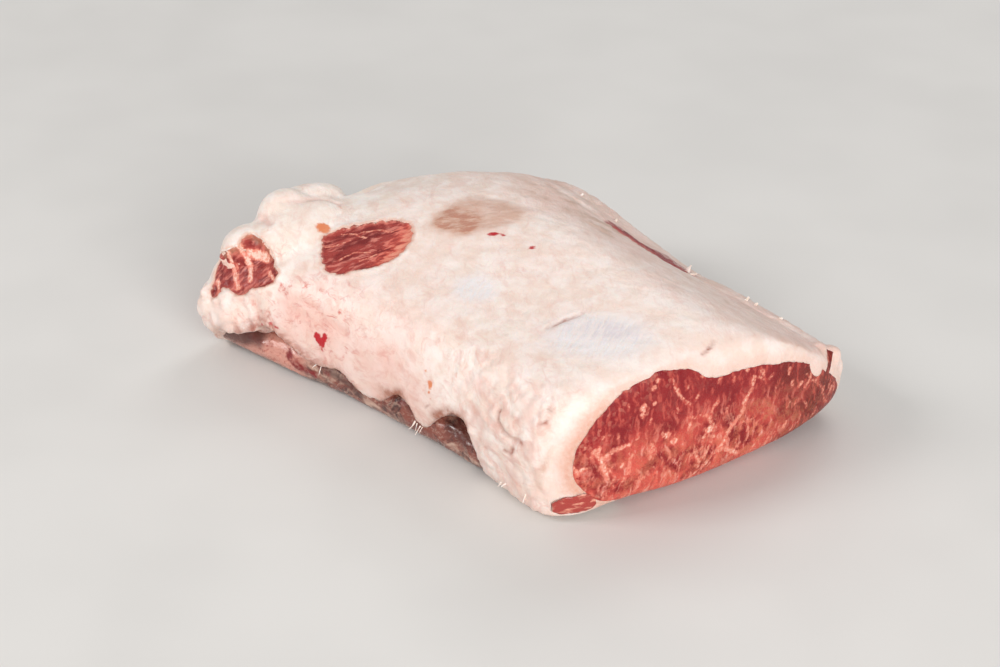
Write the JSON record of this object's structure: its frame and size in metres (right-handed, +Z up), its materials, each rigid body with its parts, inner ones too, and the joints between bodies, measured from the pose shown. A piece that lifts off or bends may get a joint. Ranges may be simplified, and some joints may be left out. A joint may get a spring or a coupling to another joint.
{
  "type": "pork loin",
  "caption": "Raw boneless pork loin roast with its fat cap, fresh cut face at one end, scalloped rib side and windows of lean in the fat.",
  "frame": {"origin": "bottom centre of the bounding box, on the plane that the roast rests on", "axes": "+X along the roast towards the fresh cut face, +Y towards the side where the fat cap thins out, +Z up through the fat cap"},
  "size_m": [0.2138, 0.1722, 0.0656],
  "materials": {
    "fat": "moist creamy white raw pork fat with a pink cast, soft sheen",
    "lean": "wet raw pork lean, deep red with pale marbling",
    "rib_meat": "moist brownish red rib meat under a thin grey membrane"
  },
  "bodies": {
    "root": {"fat_cap": "fat", "loin_eye": "lean", "side_muscle": "rib_meat"}
  },
  "joints": []
}
